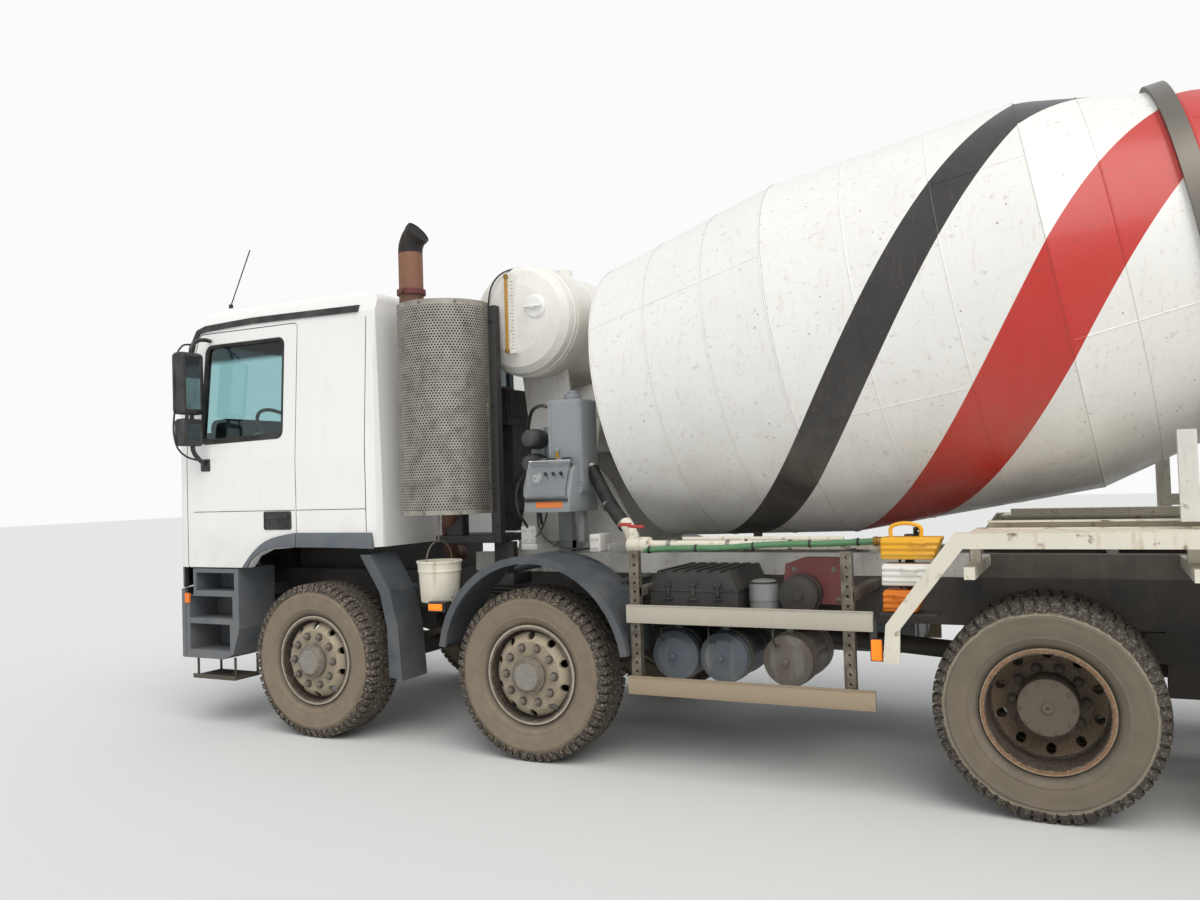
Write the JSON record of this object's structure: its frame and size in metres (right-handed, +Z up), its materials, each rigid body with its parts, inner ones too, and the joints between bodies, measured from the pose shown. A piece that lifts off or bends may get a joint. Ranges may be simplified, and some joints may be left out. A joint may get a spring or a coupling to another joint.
{
  "type": "concrete mixer truck",
  "caption": "Four-axle concrete mixer truck with tilting cab, steered front axles, turning drum on rollers, feed hopper, water tank and folding discharge chute.",
  "frame": {"origin": "middle of the bounding box at the ground under the tyres", "axes": "+X forward along the truck, +Y to the driver's left, +Z up"},
  "size_m": [9.5632, 2.8, 3.79],
  "materials": {
    "white_paint": "two-coat gloss, dusty",
    "cream_paint": "worn gloss",
    "frame_paint": "satin, dusty",
    "grey_plastic": "grained",
    "black_plastic": "grained",
    "lamp_plastic": "clear and coloured lenses",
    "dusty_steel": "painted, covered in road dust",
    "tyre_rubber": "dusty sidewalls",
    "bare_steel": "worn bright",
    "galvanised": "weathered zinc",
    "tank_paint": "satin",
    "hot_steel": "rusted by heat",
    "engine_cast": "dark cast iron",
    "glass_tinted": "light green tint",
    "seat_fabric": "dark upholstery and trim",
    "chock_plastic": "moulded, scuffed",
    "control_grey": "powder coat"
  },
  "bodies": {
    "chassis": {"chassis_frame": "frame_paint", "mixer_subframe": "white_paint", "engine": "engine_cast", "axles": "frame_paint", "bumper": "grey_plastic", "lamps": "lamp_plastic", "front_mudguards": "grey_plastic", "rear_mudguards": "cream_paint", "side_guards": "galvanised", "tanks": "tank_paint", "battery_box": "black_plastic", "exhaust_guard": "bare_steel", "exhaust_stack": "hot_steel", "air_intake": "black_plastic", "water_tank": "white_paint", "controls_and_hoses": "control_grey", "front_pedestal": "white_paint", "rear_pedestal": "white_paint", "hopper_and_discharge": "white_paint", "stowed_gear": "chock_plastic"},
    "cab": {"cab_shell": "white_paint", "cab_trim": "grey_plastic", "cab_glass": "glass_tinted", "cab_interior": "seat_fabric"},
    "door_left": {"door_left": "white_paint", "door_glass_left": "glass_tinted", "mirror_left": "black_plastic"},
    "door_right": {"door_right": "white_paint", "door_glass_right": "glass_tinted", "mirror_right": "black_plastic"},
    "knuckle_1_left": {"knuckle_1_left": "frame_paint"},
    "wheel_1_left": {"rim_1_left": "dusty_steel", "tyre_1_left": "tyre_rubber"},
    "knuckle_1_right": {"knuckle_1_right": "frame_paint"},
    "wheel_1_right": {"rim_1_right": "dusty_steel", "tyre_1_right": "tyre_rubber"},
    "knuckle_2_left": {"knuckle_2_left": "frame_paint"},
    "wheel_2_left": {"rim_2_left": "dusty_steel", "tyre_2_left": "tyre_rubber"},
    "knuckle_2_right": {"knuckle_2_right": "frame_paint"},
    "wheel_2_right": {"rim_2_right": "dusty_steel", "tyre_2_right": "tyre_rubber"},
    "wheel_3_left": {"rims_3_left": "dusty_steel", "tyres_3_left": "tyre_rubber"},
    "wheel_3_right": {"rims_3_right": "dusty_steel", "tyres_3_right": "tyre_rubber"},
    "wheel_4_left": {"rims_4_left": "dusty_steel", "tyres_4_left": "tyre_rubber"},
    "wheel_4_right": {"rims_4_right": "dusty_steel", "tyres_4_right": "tyre_rubber"},
    "drum": {"drum": "white_paint"},
    "roller_left": {"roller_left": "bare_steel"},
    "roller_right": {"roller_right": "bare_steel"},
    "chute_swivel": {"chute_swivel": "white_paint"},
    "chute": {"chute": "white_paint"},
    "chute_flap": {"chute_flap": "white_paint"},
    "cylinder_barrel": {"cylinder_barrel": "frame_paint"},
    "cylinder_rod": {"cylinder_rod": "bare_steel"}
  },
  "joints": [
    {"name": "cab_tilt", "type": "hinge", "parent": "chassis", "child": "cab", "pos_m": [4.58159, 0, 1.08], "axis": [0, 1, 0], "range_deg": [0, 55]},
    {"name": "door_left_swing", "type": "hinge", "parent": "cab", "child": "door_left", "pos_m": [4.52159, 1.14, 2], "axis": [0, 0, -1], "range_deg": [0, 75]},
    {"name": "door_right_swing", "type": "hinge", "parent": "cab", "child": "door_right", "pos_m": [4.52159, -1.14, 2], "axis": [0, 0, 1], "range_deg": [0, 75]},
    {"name": "steer_1_left", "type": "hinge", "parent": "chassis", "child": "knuckle_1_left", "pos_m": [3.33159, 0.87, 0.52], "axis": [0, 0, 1], "range_deg": [-40, 40]},
    {"name": "wheel_1_left_spin", "type": "hinge", "parent": "knuckle_1_left", "child": "wheel_1_left", "pos_m": [3.33159, 1.023, 0.52], "axis": [0, 1, 0], "continuous": true},
    {"name": "steer_1_right", "type": "hinge", "parent": "chassis", "child": "knuckle_1_right", "pos_m": [3.33159, -0.87, 0.52], "axis": [0, 0, 1], "range_deg": [-40, 40]},
    {"name": "wheel_1_right_spin", "type": "hinge", "parent": "knuckle_1_right", "child": "wheel_1_right", "pos_m": [3.33159, -1.023, 0.52], "axis": [0, 1, 0], "continuous": true},
    {"name": "steer_2_left", "type": "hinge", "parent": "chassis", "child": "knuckle_2_left", "pos_m": [1.63159, 0.87, 0.52], "axis": [0, 0, 1], "range_deg": [-27, 27]},
    {"name": "wheel_2_left_spin", "type": "hinge", "parent": "knuckle_2_left", "child": "wheel_2_left", "pos_m": [1.63159, 1.023, 0.52], "axis": [0, 1, 0], "continuous": true},
    {"name": "steer_2_right", "type": "hinge", "parent": "chassis", "child": "knuckle_2_right", "pos_m": [1.63159, -0.87, 0.52], "axis": [0, 0, 1], "range_deg": [-27, 27]},
    {"name": "wheel_2_right_spin", "type": "hinge", "parent": "knuckle_2_right", "child": "wheel_2_right", "pos_m": [1.63159, -1.023, 0.52], "axis": [0, 1, 0], "continuous": true},
    {"name": "wheel_3_left_spin", "type": "hinge", "parent": "chassis", "child": "wheel_3_left", "pos_m": [-1.21841, 1.077, 0.52], "axis": [0, 1, 0], "continuous": true},
    {"name": "wheel_3_right_spin", "type": "hinge", "parent": "chassis", "child": "wheel_3_right", "pos_m": [-1.21841, -1.077, 0.52], "axis": [0, 1, 0], "continuous": true},
    {"name": "wheel_4_left_spin", "type": "hinge", "parent": "chassis", "child": "wheel_4_left", "pos_m": [-2.56841, 1.077, 0.52], "axis": [0, 1, 0], "continuous": true},
    {"name": "wheel_4_right_spin", "type": "hinge", "parent": "chassis", "child": "wheel_4_right", "pos_m": [-2.56841, -1.077, 0.52], "axis": [0, 1, 0], "continuous": true},
    {"name": "drum_spin", "type": "hinge", "parent": "chassis", "child": "drum", "pos_m": [1.24159, 0, 2.22], "axis": [-0.9853, 0, 0.1711], "continuous": true},
    {"name": "roller_left_spin", "type": "hinge", "parent": "chassis", "child": "roller_left", "pos_m": [-2.15331, 0.59632, 1.84087], "axis": [-0.9853, 0, 0.1711], "continuous": true},
    {"name": "roller_right_spin", "type": "hinge", "parent": "chassis", "child": "roller_right", "pos_m": [-2.15331, -0.59632, 1.84087], "axis": [-0.9853, 0, 0.1711], "continuous": true},
    {"name": "chute_swivel_turn", "type": "hinge", "parent": "chassis", "child": "chute_swivel", "pos_m": [-3.66841, 0, 1.4], "axis": [0, 0, 1], "range_deg": [-90, 90]},
    {"name": "chute_tilt", "type": "hinge", "parent": "chute_swivel", "child": "chute", "pos_m": [-3.66841, 0, 1.66], "axis": [0, 1, 0], "range_deg": [-18, 8]},
    {"name": "chute_fold", "type": "hinge", "parent": "chute", "child": "chute_flap", "pos_m": [-4.73027, 0, 1.62727], "axis": [0, -1, 0], "range_deg": [0, 180]},
    {"name": "cylinder_swing", "type": "hinge", "parent": "chute_swivel", "child": "cylinder_barrel", "pos_m": [-3.79841, 0, 1.37], "axis": [0, 1, 0], "range_deg": [-21.7, 9.7]},
    {"name": "cylinder_slide", "type": "slide", "parent": "cylinder_barrel", "child": "cylinder_rod", "axis": [-0.9778, 0, 0.2094], "range_m": [-0.096, 0.043]}
  ],
  "couplings": [
    {"joint": "steer_1_right", "follows": "steer_1_left", "ratio": 1},
    {"joint": "steer_2_left", "follows": "steer_1_left", "ratio": 0.675},
    {"joint": "steer_2_right", "follows": "steer_1_left", "ratio": 0.675},
    {"joint": "roller_left_spin", "follows": "drum_spin", "ratio": -7.0357},
    {"joint": "roller_right_spin", "follows": "drum_spin", "ratio": -7.0357},
    {"joint": "cylinder_swing", "follows": "chute_tilt", "ratio": 1.2},
    {"joint": "cylinder_slide", "follows": "chute_tilt", "m_per_rad": 0.3}
  ]
}
